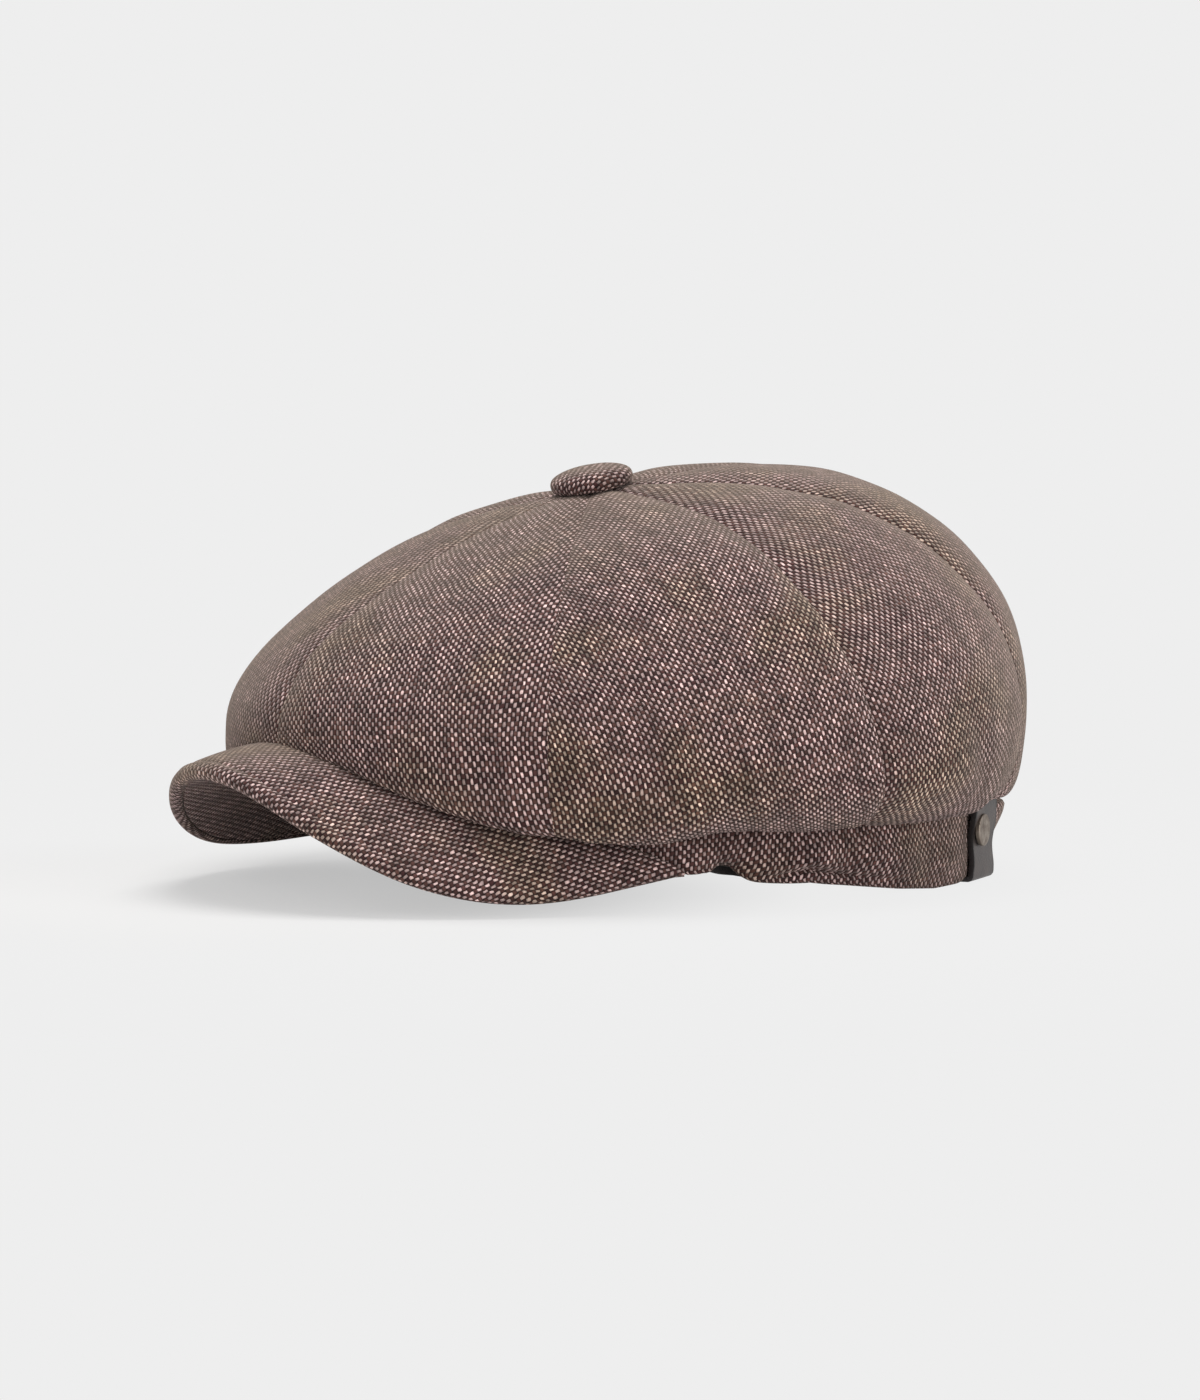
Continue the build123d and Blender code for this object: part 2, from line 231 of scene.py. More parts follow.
def weave_threads(place, warp_pitch, weft_pitch, slack):
    """Whether the warp lies on top at a place on the cloth, its height and its threads' numbers."""
    along, down, _ = split(place)
    tremble = speckle(place, 420.0, 1.0)
    slack = (speckle(place, 70.0, 1.0) * 1.6 + tremble * 0.55) * slack
    warp = along / warp_pitch + slack
    weft = down / weft_pitch - slack
    warp_number, weft_number = calc("FLOOR", warp), calc("FLOOR", weft)
    across_warp = warp - warp_number - 0.5
    across_weft = weft - weft_number - 0.5
    warp_over = calc("PINGPONG", warp_number + weft_number, 1.0) * -2.0 + 1.0
    spun = (tremble - 0.5) * 0.30 + warp_half
    warp_height = thread_height(across_weft, across_weft * yarn_lean + across_warp, warp_over, spun)
    weft_height = thread_height(across_warp, across_weft, warp_over * -1.0, weft_half)
    height = calc("MAXIMUM", warp_height, weft_height) / 1.6
    return fade(warp_height - weft_height, -0.02, 0.22), height, warp_number, weft_number


weave_in = plain_weave.nodes.new("NodeGroupInput").outputs
weave_out = plain_weave.nodes.new("NodeGroupOutput").inputs
for socket, value in zip(weave_out, weave_threads(*[Signal(socket) for socket in weave_in[:4]])):
    wire(socket, value)


def weave_at(place, *pitches_and_slack):
    """Outputs of the plain weave at a place, with its warp pitch, weft pitch and slack."""
    cloth = new_node(place.tree, "Group", (place, *pitches_and_slack), node_tree=plain_weave)
    return {output.name: Signal(output) for output in cloth.socket.node.outputs}


def new_finish(name, roughness, **sockets):
    """Empty material, and its shader with the values that are even all over."""
    material = bpy.data.materials.new(name)
    material.use_nodes = True
    shader = material.node_tree.nodes["Principled BSDF"]
    for label, value in {"Roughness": roughness, **sockets}.items():
        shader.inputs[label.replace("_", " ")].default_value = value
    return material, shader


def cloth_place(shader):
    """Where on its own flat cloth a point of the piece is."""
    return new_node(shader.id_data, "UVMap", uv_map="cloth")


def coat(shader, colour, roughness=None, height=None, depth=0.0):
    """Wires a material's colour and, where they vary, its roughness and a relief of some depth."""
    wire(shader.inputs["Base Color"], colour)
    if roughness:
        wire(shader.inputs["Roughness"], roughness)
    if height:
        values = {"Distance": depth, "Height": height}
        wire(shader.inputs["Normal"], new_node(shader.id_data, "Bump", values))


tweed, shader = new_finish(
    "Tweed", 0.9, Specular_IOR_Level=0.2, Sheen_Weight=0.15, Sheen_Roughness=0.4,
    Sheen_Tint=(1.0, 0.86, 0.78, 1.0),
)
place = cloth_place(shader)
weave = weave_at(place, warp_pitch, weft_pitch, 1.0)
warp_tone = lot(weave["Warp number"])
weft_tone = lot(weave["Weft number"] + 0.37)
dot_tone = lot(calc("MULTIPLY_ADD", weave["Warp number"], 7.31, weave["Weft number"]))
pale_colour = mix(warp_tone, pale_yarn, pale_yarn_grey)
dark_colour = mix(weft_tone, dark_yarn, dark_yarn_warm)
colour = mix(weave["Warp on top"], dark_colour, pale_colour)
drift = fade(speckle(place, 28.0, 4.0), 0.46, 0.68)
colour = mix(1.0, colour, mix(drift, plum_cast, olive_cast), "MULTIPLY")
hairs = speckle(place, 2600.0, 3.0)
# Painted shade: the colour darkens where the weave lies low, as if shaded between the threads.
hollow_shade = fade(weave["Height"], 0.15, 1.0) * 0.85 + 0.15
clumps = fade(speckle(place, 330.0), 0.25, 0.75)
patches = fade(speckle(place, 110.0, 3.0), 0.30, 0.70)
tone = dot_tone * 0.70 + (hairs * 0.6 + 0.30)
tone = tone * (clumps * 0.5 + 0.75) * (patches * 0.38 + 0.80)
# Painted sheen: the colour pales toward a grey-brown where the cloth is seen edge-on, and less
# where it faces down. It stands in for light caught by the wool's fuzz.
edge_on = new_node(shader.id_data, "LayerWeight", {"Blend": 0.5}, "Facing")
upward = split(new_node(shader.id_data, "NewGeometry", output="Normal"))[2]
painted_fuzz_sheen = fade(edge_on, 0.35, 1.0) * (fade(upward, -0.9, -0.2) * 0.55)
colour = mix(painted_fuzz_sheen, shade(colour, hollow_shade * tone), painted_fuzz_sheen_colour)
coat(shader, colour, height=hairs * 0.25 + weave["Height"], depth=0.0004)


def unit(value):
    """Value held between 0 and 1."""
    return np.clip(value, 0, 1)


def heading(turn):
    """Sine and cosine of a turn in degrees."""
    return np.sin(np.radians(turn)), np.cos(np.radians(turn))


def around(turn, values, sharpness=2):
    """Value at each turn between those at the front, the side and the rear."""
    front, side, rear = values
    toward = np.cos(np.radians(turn))
    ahead = side + (front - side) * np.abs(toward) ** sharpness
    behind = side + (rear - side) * toward**2
    return np.where(toward > 0, ahead, behind)


def outward(turn):
    """Direction from the button to the crown's widest outline at a turn, and how far it is."""
    aside, ahead = heading(turn)
    x = side_reach * aside
    y = -np.where(ahead > 0, front_reach, rear_reach) * ahead - button_place
    length = np.hypot(x, y)
    return x / length, y / length, length + around(turn, crown_spread)


def on_oval(turn, out=0.0):
    """Place on the headband's face, or some way out from it."""
    aside, ahead = heading(turn)
    return (band_half_width + out) * aside, -(band_half_length + out) * ahead


def band_distance(dx, dy, inset=0.0):
    """How far the headband's face, less an inset, is from the button's axis in a direction."""
    length = band_half_length - inset
    width = band_half_width - inset
    a = (dx / width) ** 2 + (dy / length) ** 2
    b = 2 * dy * button_place / length**2
    c = (button_place / length) ** 2 - 1
    return (-b + np.sqrt(b * b - 4 * a * c)) / (2 * a)


def bend(points, count):
    """Cubic curve with four control points, as points an even length apart."""
    share = steps(81)
    a, b, c, d = (np.array(point) for point in points)
    curve = a * (1 - share) ** 3 + 3 * b * share * (1 - share) ** 2
    curve = curve + 3 * c * share**2 * (1 - share) + d * share**3
    length = np.append(0, np.cumsum(np.hypot(*np.diff(curve, axis=0).T)))
    even = np.linspace(0, length[-1], count)
    return np.stack([np.interp(even, length, side) for side in curve.T], 1)


def crown_fold(turn):
    """Height of the crown's lowest fold, which droops over the visor and lies low at the sides."""
    ahead = unit(np.cos(np.radians(turn))) ** fold_sharpness
    height = fold_low + (fold_front - fold_low) * ahead
    for start, run, rise in ((58, 14, fold_rise), (74, 14, -fold_sag), (123.5, 7, fold_tab_rise)):
        share = unit((abs(turn) - start) / run)
        height = height + rise * share**2 * (3 - 2 * share)
    return height


def crown_profile(turn):
    """Reach and height down one meridian of the crown, from the button to the band."""
    dx, dy, reach = outward(turn)
    widest = around(turn, bulge_heights)
    fold = crown_fold(turn)
    end = around(turn, seam_heights, 3)
    seat = band_distance(dx, dy) + seam_gap
    shoulder = around(turn, top_reach) * reach
    brow = widest + around(turn, top_drop) * (crown_height - widest)
    down = widest - around(turn, fold_depth, 1) * (widest - fold)
    tuck = seat + around(turn, fold_width, 3.2) * (reach - seat)
    hole = (button_hole, crown_height + crown_slope * dy * button_hole)
    top = (shoulder, crown_height + crown_slope * dy * shoulder)
    low = (tuck, fold - fold_dip * (end - fold))
    upper = bend([hole, top, (reach, brow), (reach, widest)], upper_rows)
    lower = bend([(reach, widest), (reach, down), low, (seat, end)], lower_rows)
    return np.vstack([upper, lower[1:]])


def meridians(turns, profile):
    """Points of a surface hung from the button: a row at each height, a column at each turn."""
    columns = []
    for turn in turns:
        dx, dy, _ = outward(turn)
        reach, height = profile(turn).T
        columns.append(np.stack([reach * dx, button_place + reach * dy, height], 1))
    return np.stack(columns, 1)


def swept(turns, profile, drift):
    """The same, with each point moved rearward round the crown by a drift in degrees."""
    near = np.arange(turns.min() - 12, turns.max() + 12.1, 0.5)
    grid = meridians(near, profile)
    places = turns + drift * np.sin(np.radians(turns)) ** 5
    rows = [[np.interp(at, near, side) for side in row.T] for at, row in zip(places, grid)]
    return np.moveaxis(np.array(rows), 1, 2)


def raised(points, relief):
    """A grid of points, each moved outwards by its relief."""
    normals = np.cross(np.gradient(points, axis=0), np.gradient(points, axis=1))
    normals = normals / np.linalg.norm(normals, axis=-1, keepdims=True)
    return points + normals * relief[..., None]


def ripple(points, size, seed):
    """Smooth noise from about -1 to 1 at each point, with features of the given size."""
    flat = points.reshape(-1, 3) / size + seed
    values = [noise.noise(Vector(point)) for point in flat]
    return np.array(values).reshape(points.shape[:-1])


def cloth_piece(name, points, places, thickness, finish, ring=False):
    """Grid mesh of points[row, column] whose UVs are places on the flat cloth, thickened inwards.

    A ring's last column is its first again.
    """
    kept = points[:, :-1] if ring else points
    index = np.arange(kept.shape[0] * kept.shape[1]).reshape(kept.shape[:2])
    if ring:
        index = np.hstack([index, index[:, :1]])
    quads, corners = (
        np.stack([grid[:-1, :-1], grid[1:, :-1], grid[1:, 1:], grid[:-1, 1:]], 2)
        for grid in (index, places)
    )
    mesh = bpy.data.meshes.new(name)
    mesh.from_pydata(kept.reshape(-1, 3).tolist(), [], quads.reshape(-1, 4).tolist())
    mesh.uv_layers.new(name="cloth").data.foreach_set("uv", corners.ravel())
    mesh.shade_smooth()
    mesh.materials.append(finish)
    piece = bpy.data.objects.new(name, mesh)
    bpy.context.collection.objects.link(piece)
    solid = piece.modifiers.new("Thickness", "SOLIDIFY")
    solid.thickness = thickness
    solid.offset = -1.0
    return piece


def steps(count):
    """Column of even steps from 0 to 1."""
    return np.linspace(0, 1, count)[:, None]


def lengths(points, axis):
    """Distance run along an axis of a grid of points, from 0."""
    gaps = np.linalg.norm(np.diff(points, axis=axis), axis=-1)
    start = np.zeros_like(np.take(gaps, [0], axis))
    return np.concatenate([start, np.cumsum(gaps, axis)], axis)


def turned(across, down, degrees, shift):
    """Places on the cloth of a piece that was cut at an angle to the grain."""
    s, c = heading(degrees)
    return np.stack([across * c - down * s + shift, down * c + across * s + shift], -1)


def gore_places(points, degrees, shift):
    """Places on the cloth of a gore that was cut at an angle to the grain."""
    width = lengths(points, 1)
    middle = points.shape[1] // 2
    down = lengths(points[:, middle : middle + 1], 0)
    return turned(width - width[:, -1:] / 2, down, degrees, shift)


def declare_sheet(points, node):
    """Hides the solid that a grid of cloth stands for; the grid's width and length are measured but
    not kept.
    """
    width, down = lengths(points, 1)[:, -1], lengths(points, 0)
    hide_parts(node)


def bell(value, middle, width):
    """1 at the middle, falling smoothly to nothing at a few widths from it."""
    return np.exp(-(((value - middle) / width) ** 2))


crown_folds = (
    # turn, height, tilt, length, width, depth
    (24.0, 0.050, 0.10, 0.020, 0.0040, -0.0008),
    (38.0, 0.044, 0.25, 0.022, 0.0040, -0.0009),
    (57.0, 0.034, -0.15, 0.024, 0.0045, -0.0012),
    (64.0, 0.040, 0.10, 0.018, 0.0045, -0.0008),
    (86.0, 0.036, 0.30, 0.022, 0.0050, -0.0008),
    (113.0, 0.038, -0.30, 0.022, 0.0050, -0.0009),
    (-40.0, 0.046, -0.20, 0.022, 0.0040, -0.0010),
    (-78.0, 0.036, 0.10, 0.024, 0.0050, -0.0010),
    (-120.0, 0.040, 0.25, 0.022, 0.0050, -0.0009),
)


def crown_relief(points, turns, share):
    """How far the sewn crown stands out from its plain surface: full gores, low seams, folds."""
    width = lengths(points, 1)
    edge = np.minimum(width, width[:, -1:] - width)
    from_button = np.linalg.norm(points[..., :2] - (0, button_place), axis=-1)
    row = np.arange(len(points))[:, None]
    foot = unit((row - upper_rows) / lower_rows)
    relief = gore_fullness * np.sin(np.pi * share) * np.minimum(width[:, -1:] / 0.06, 1)
    relief = relief - gore_draw * np.minimum(from_button / 0.03, 1)
    pressed = 1 - front_seam_pressed * bell(turns, 0, pressed_breadth)
    valley = seam_valley * bell(edge, 0, seam_valley_width) * np.minimum(from_button / 0.02, 1)
    relief = relief - pressed * (valley + seam_tuck * bell(edge, 0, seam_tuck_width))
    free = unit(from_button / 0.03 - 0.5)
    for depth, size, seed in crown_waves:
        relief = relief + depth * ripple(points, size, seed) * free
    seen = row <= upper_rows + lower_rows // 2
    for turn, height, tilt, length, breadth, depth in crown_folds:
        above = points[..., 2] - height
        off = np.radians(turns - turn) * crown_middle_reach - tilt * above
        relief = relief + seen * depth * bell(off, 0, breadth) * bell(above, 0, length / 2)
    gathers = np.sin(turns * gathers_per_degree + 2.0 * ripple(points, 0.03, 7.0))
    return relief * (1 - foot**1.5) + gather_depth * gathers * foot**1.5


for side, sign in (("left", 1), ("right", -1)):
    for order, (panel, angle) in enumerate(grain.items()):
        share = (1 - np.cos(np.linspace(0, np.pi, gore_columns))) / 2
        first = order if sign > 0 else -order - 1
        turns = gore_angle * (first + share)
        foot = np.linspace(-0.5, 1, upper_rows + lower_rows - 1)[:, None].clip(0)
        plain = swept(turns, crown_profile, seam_sweep * foot**2)
        points = raised(plain, crown_relief(plain, turns, share))
        shift = 0.31 * order + (0.17 if sign < 0 else 0)
        places = gore_places(points, sign * angle, shift)
        gore = cloth_piece(f"crown_gore_{panel}_{side}", points, places, crown_cloth, tweed)
        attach(gore, "cap")
        declare_sheet(points, f"crown_panel_{panel}_{side}")

# ------------ lining
# Four gores of dark satin, hung inside the crown from its point and gathered into the top of
# the headband.  They are cut smaller than the crown, and hang a little slack.
lining_cloth = 0.0006
lining_insets = (0.009, 0.007, 0.006)
lining_lifts = (0.006, 0.004, 0.004)
lining_drop = 0.0042
lining_waist = 0.6
lining_foot = 0.3
lining_seat = 0.0021
lining_columns = 121
lining_gather = 0.0008
pleats_per_degree = 1.05
lining_seam = 0.0008
lining_slack = 0.0010
satin_brown = (0.060, 0.043, 0.040, 1.0)
satin_deep = (0.032, 0.023, 0.022, 1.0)
band_top_rear = 0.027
band_top_bend = -0.014

satin, shader = new_finish("Lining satin", 0.38, Sheen_Weight=0.25, Specular_IOR_Level=0.45)
place = cloth_place(shader)
drawn = new_node(shader.id_data, "Mapping", {"Vector": place, "Scale": (6.0, 0.35, 1.0)})
floats = speckle(drawn, 500.0, 3.0)
colour = mix(floats * 0.7 + speckle(place, 45.0) * 0.3, satin_deep, satin_brown)
coat(shader, colour, floats * 0.25 + 0.28, floats, 0.0001)


def band_top(y):
    """Height of the headband's top edge at a place along the cap."""
    share = unit((band_top_bend - y) / (band_top_bend + band_half_length))
    return band_top_rear + (band_top_front - band_top_rear) * share**1.3


def lining_profile(turn):
    """Reach and height down one meridian of the lining, from the button to the band's top."""
    dx, dy, reach = outward(turn)
    widest = around(turn, bulge_heights) + around(turn, lining_lifts)
    side = reach - crown_cloth - around(turn, lining_insets)
    ceiling = crown_height - crown_cloth - lining_drop
    shoulder = around(turn, top_reach) * side
    brow = widest + around(turn, top_drop) * (ceiling - widest)
    seat = band_distance(dx, dy, lining_seat)
    foot = band_top(button_place + dy * seat) + seam_gap
    start = (0.0003, ceiling)
    top = (shoulder, ceiling + crown_slope * dy * shoulder)
    upper = bend([start, top, (side, brow), (side, widest)], upper_rows)
    waist = (side, widest - (widest - foot) * lining_waist)
    low = (seat, foot + (widest - foot) * lining_foot)
    lower = bend([(side, widest), waist, low, (seat, foot)], lower_rows)
    return np.vstack([upper, lower[1:]])


lining_panels = {"front_left": 0, "rear_left": 90, "front_right": -90, "rear_right": -180}
for panel, first in lining_panels.items():
    turns = np.linspace(first, first + 90, lining_columns)
    plain = meridians(turns, lining_profile)
    width = lengths(plain, 1)
    edge = np.minimum(width, width[:, -1:] - width)
    foot = steps(len(plain))
    pleats = np.sin(turns * pleats_per_degree + 3.0 * ripple(plain, 0.035, 2.0)) - 1
    pleats = pleats * foot**5 * (1 - foot**24)
    relief = lining_gather * (pleats + ripple(plain, 0.03, 9.0) * (1 - foot) * 0.8)
    relief = relief + lining_seam * bell(edge, 0, 0.0012) - lining_slack * (1 - foot)
    points = raised(plain, relief)
    places = gore_places(points, 0, first)
    lining = cloth_piece(f"lining_gore_{panel}", points, places, lining_cloth, satin)
    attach(lining, "cap")
    declare_sheet(points, f"lining_{panel}")

# ------------ covered button
# A disc of the tweed drawn over a pressed metal shell and clipped to a back plate, whose stem
# goes down through the crown's point and is held by a washer inside.
button_low, button_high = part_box("button_cover")
button_radius = (button_high.x - button_low.x) * 0.481
button_gap = -0.0004
button_height = 0.0063
button_corner = 0.0024
button_opening = 0.007
button_cloth = 0.0009
button_steel = 0.0005
bright_steel = (0.62, 0.62, 0.64, 1.0)


def button_profile(inset=0.0):
    """Radius and height from the middle of the button's top to the hole in its underside."""
    side = button_radius - inset
    top = button_gap + button_height - inset
    shoulder = button_gap + button_corner
    drop = button_corner * 0.63
    edge = (side - button_corner, button_gap)
    dome = bend([(0.0001, top), (side * 0.62, top), (side, top - 0.0012), (side, shoulder)], 26)
    round_corner = [(side, shoulder), (side, shoulder - drop), (side - 0.0009, button_gap), edge]
    under = bend(round_corner, 10)
    back = np.linspace(edge, (button_opening, button_gap), 6)
    return np.vstack([dome, under[1:], back[1:]])


def turned_round(profile):
    """Surface of a profile turned round the axis of an upright button."""
    radius, height = profile[:, :1], profile[:, 1:] + 0 * turns
    return np.stack([radius * np.sin(turns), -radius * np.cos(turns), height], -1)


def on_crown(points):
    """Puts points of the upright button on the crown's sloping top."""
    x, y, z = np.moveaxis(points, -1, 0)
    tilt = np.arctan(crown_slope)
    far = button_place + y * np.cos(tilt) - z * np.sin(tilt)
    return np.stack([x, far, crown_height + y * np.sin(tilt) + z * np.cos(tilt)], -1)


turns = np.radians(np.linspace(0, 360, 73))
upright = turned_round(button_profile())
points = on_crown(upright + ripple(upright, 0.006, 5.0)[..., None] * (0, 0, 0.00015))
run = lengths(points[:, :1], 0)
places = np.stack([run * np.sin(turns) + 0.5, run * np.cos(turns)], -1)
button = cloth_piece("button_cloth", points, places, button_cloth, tweed, ring=True)
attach(button, "cap")
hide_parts("button_cover")


def object_place(shader):
    """Where in the cap a point of the piece is."""
    return new_node(shader.id_data, "TexCoord", output="Object")


steel, shader = new_finish("Pressed steel", 0.3, Metallic=1.0)
steel_tone = speckle(object_place(shader), 900.0, 3.0)
coat(shader, shade(bright_steel, steel_tone * 0.4 + 0.75), steel_tone * 0.25 + 0.2)
points = on_crown(turned_round(button_profile(button_cloth + 0.0001)[:-4]))
shell = cloth_piece("button_shell_pressed", points, points[..., :2], button_steel, steel, ring=True)
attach(shell, "cap")
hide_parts("button_shell")
for node in ("button_back", "button_washer"):
    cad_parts[node].data.materials.clear()
    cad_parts[node].data.materials.append(steel)

# ------------ headband
# Two strips of the tweed, joined at the front and the rear, with their lower edge turned up
# inside.  The cloth is worn: it puckers, it creases low down, and behind the visor it rides up.
band_cloth = 0.0009
band_columns = 361
band_rows = 40
hem_radius = 0.0010
hem_rise = 0.0050
temple_y = -0.0394933
temple_foot = 0.0066
foot_slope = 0.5132
tab_turn = 131.7
band_grain = 4.0
ride_up = 0.0036
ride_up_turn = 73.9
ride_up_breadth = 2.3

foot_turns = (0, 62, 67.5, 70, 76, 82, 88, 94, 106, 116, 180)
foot_lifts = (0, 0.0010, 0.0025, 0.0038, 0.0040, 0.0046, 0.0052, 0.0041, 0.0015, 0, 0)


def band_foot(turn):
    """Height of the headband's lower edge: low at the rear, and rising to the visor."""
    turn = (turn + 180) % 360 - 180
    y = on_oval(turn)[1]
    foot = temple_foot * unit((0.0045 - y) / 0.044) ** 2
    foot = foot + foot_slope * np.clip(temple_y - y, 0, None)
    lift = np.interp(np.abs(turn), foot_turns, foot_lifts)
    under_tab = 0.0019 * np.exp(-(((turn - tab_turn) / 5.5) ** 4))
    return foot + lift * np.where(turn > 0, 1.0, 0.6) + under_tab


band_puckers = (
    # turn, rise above the edge, breadth in degrees, breadth upwards, depth
    (73.9, 0.0020, 2.6, 0.0024, -0.0042),
    (79.5, 0.0050, 3.0, 0.0035, 0.0016),
    (87.5, 0.0078, 4.5, 0.0034, 0.0020),
    (101.0, 0.0085, 14.0, 0.0048, 0.0026),
    (143.5, 0.0200, 7.5, 0.0085, 0.0050),
    (94.0, 0.0085, 2.5, 0.0040, -0.0006),
    (112.0, 0.0090, 3.5, 0.0050, -0.0005),
    (121.0, 0.0080, 6.0, 0.0050, 0.0010),
    (-75.0, 0.0025, 4.0, 0.0020, -0.0018),
    (-95.0, 0.0032, 12.0, 0.0010, -0.0008),
    (-110.0, 0.0095, 14.0, 0.0045, 0.0009),
    (-150.0, 0.0100, 10.0, 0.0050, -0.0007),
    (158.0, 0.0110, 10.0, 0.0050, 0.0007),
)
crease_turns = (80, 83, 87, 92, 98, 112)
crease_rises = (0.0012, 0.0024, 0.0037, 0.0032, 0.0027, 0.0018)
crease_depths = (0, 0.0016, 0.0025, 0.0018, 0.0007, 0)


def band_wave(turn, height):
    """How far all the band's layers stand out together from a plain oval at a turn."""
    turn = (turn + 180) % 360 - 180
    rise = height - band_foot(turn)
    wave = 0 * rise
    for middle, up, breadth, tall, depth in band_puckers:
        wave = wave + depth * bell(turn, middle, breadth) * bell(rise, up, tall)
    crease = np.interp(turn, crease_turns, crease_rises)
    depth = np.interp(turn, crease_turns, crease_depths)
    wave = wave - depth * bell(rise, crease, 0.0006)
    wave = wave + 0.5 * depth * bell(rise, crease + 0.0020, 0.0015)
    aside, ahead = heading(turn)
    around_head = np.stack([aside + 0 * rise, ahead + 0 * rise, height * 12 + 0 * rise], -1)
    wave = wave + 0.0006 * ripple(around_head, 0.28, 4.0)
    behind_visor = unit((np.abs(turn) - 66) / 4)
    below_crown = unit((crown_fold(turn) + 0.004 - height) / 0.003)
    return wave * behind_visor * below_crown


def on_band(turn, height, inset, worn=1.0):
    """Points of a band layer at an inset from the headband's face, more or less worn."""
    out = worn * band_wave(turn, height) - inset
    return np.stack([*on_oval(turn, out), height + 0 * out], -1)


for side, first in (("left", 0), ("right", -180)):
    turns = np.linspace(first, first + 180, band_columns)[None]
    lowest = band_foot(turns)
    foot = lowest + ride_up * bell(turns, ride_up_turn, ride_up_breadth)
    top = band_top(on_oval(turns)[1])
    share = steps(band_rows)[::-1] ** 1.3
    hem_foot = foot + hem_radius
    face = hem_foot + (top - hem_foot) * share
    angle = np.linspace(0, np.pi, 9)[1:, None]
    roll = hem_foot - hem_radius * np.sin(angle)
    hem = hem_foot + (lowest + hem_rise - hem_foot) * steps(5)[1:]
    heights = np.vstack([face, roll, hem])
    insets = [0 * face, hem_radius * (1 - np.cos(angle)) + 0 * foot, 2 * hem_radius + 0 * hem]
    insets = np.vstack(insets)
    points = on_band(turns, heights, insets)
    smoother = on_band(turns, heights, insets, 0.25)
    width = lengths(smoother, 1)
    down = lengths(smoother, 0) - top[0]
    places = turned(width, down, band_grain if first == 0 else -band_grain, 0.9 + first)
    headband = cloth_piece(f"headband_{side}_cloth", points, places, band_cloth, tweed)
    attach(headband, "cap")
    declare_sheet(points, f"headband_{side}")

# ------------ interlining and elastic
# A strip of stiff canvas that holds the headband's shape, and behind it at the rear a length
# of ribbed elastic that draws the cap in.
canvas_inset = 0.0011
canvas_cloth = 0.0008
elastic_inset = 0.0020
elastic_cloth = 0.0008
elastic_low, elastic_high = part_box("rear_elastic")
canvas_pitch = 0.0006
rib_frequency = 6283.0
knit_frequency = 9000.0
canvas_thread = (0.56, 0.50, 0.41, 1.0)
canvas_thread_dark = (0.42, 0.37, 0.30, 1.0)
elastic_black = (0.035, 0.030, 0.030, 1.0)
elastic_grey = (0.070, 0.062, 0.060, 1.0)

canvas, shader = new_finish("Canvas", 0.9, Specular_IOR_Level=0.25)
weave = weave_at(cloth_place(shader), canvas_pitch, canvas_pitch, 0.5)
colour = mix(weave["Warp on top"], canvas_thread_dark, canvas_thread)
# Painted shade: the canvas's colour is darkened where its threads lie low in the weave.
coat(shader, shade(colour, weave["Height"] * 0.6 + 0.4), height=weave["Height"], depth=0.0002)

ribbed, shader = new_finish("Ribbed elastic", 0.8, Specular_IOR_Level=0.3)


def waves(run, frequency):
    """Even waves between 0 and 1 along a run."""
    return calc("SINE", run * frequency) * 0.5 + 0.5


along, down, _ = split(cloth_place(shader))
rib_height = waves(down, rib_frequency) * 0.7 + waves(along, knit_frequency) * 0.3
coat(shader, mix(rib_height, elastic_black, elastic_grey), height=rib_height, depth=0.0003)


def strip(name, turns, low, high, inset, rows, thickness, finish):
    """Strip of a band layer between two heights, and its points."""
    points = on_band(turns, high + (low - high) * steps(rows), inset)
    places = turned(lengths(points, 1), lengths(points, 0), 0, 0.2)
    return cloth_piece(name, points, places, thickness, finish), points


turns = np.linspace(-180, 180, 2 * band_columns - 1)[None]
foot = band_foot(turns)
top = band_top(on_oval(turns)[1])
low, high = foot + hem_rise + 0.0003, top - 0.0005
interlining, points = strip("band_canvas", turns, low, high, canvas_inset, 16, canvas_cloth, canvas)
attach(interlining, "cap")
declare_sheet(points, "band_interlining")

elastic_reach = np.degrees(np.arcsin(elastic_high.x / (band_half_width - elastic_inset)))
rear = np.linspace(180 - elastic_reach, 180 + elastic_reach, 61)[None]
low, high = elastic_low.z, elastic_high.z
elastic, points = strip(
    "rear_elastic_band", rear, low, high, elastic_inset, 9, elastic_cloth, ribbed
)
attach(elastic, "cap")
declare_sheet(points, "rear_elastic")

# ------------ sweatband
# Dark cotton twill inside the band, folded at its lower edge and sewn all round with a row of
# stitches just above the fold.  Its near-black colour is partly painted shade. It stands in for the
# shadow inside the cap where the twill shows under the band's raised edge behind the visor.
sweat_inset = 0.0029
sweat_cloth = 0.0010
sweat_rise = 0.0010
stitch_rise = 0.0034
stitch_length = 0.0028
wale_frequency = 7400.0
step_frequency = 12000.0
# Near black partly as painted shade, for the shadow seen under the band's raised edge.
twill_dark = (0.011, 0.009, 0.009, 1.0)
twill_pale = (0.030, 0.025, 0.024, 1.0)
thread_colour = (0.085, 0.070, 0.062, 1.0)

twill, shader = new_finish("Sweatband twill", 0.8, Specular_IOR_Level=0.2, Sheen_Weight=0.02)
place = cloth_place(shader)
along, down, _ = split(place)
wale = waves(along + down * 0.8, wale_frequency)
twill_height = wale * 0.75 + waves(down, step_frequency) * 0.25
colour = mix(twill_height * speckle(place, 60.0), twill_dark, twill_pale)
off_row = abs(down)
off_stitch = abs(calc("FRACT", along / stitch_length) - 0.5)
stitch = (1.0 - fade(off_row, 0.00025, 0.00050)) * (1.0 - fade(off_stitch, 0.36, 0.44))
sunk = 1.0 - fade(off_row, 0.0003, 0.0016)
sewn = sunk * -1.2 + (stitch * 1.6 + twill_height * 0.3)
coat(shader, mix(stitch, colour, thread_colour), height=sewn, depth=0.0004)
foot, top = foot + sweat_rise, top - 0.0001
heights = top + (foot - top) * steps(26)
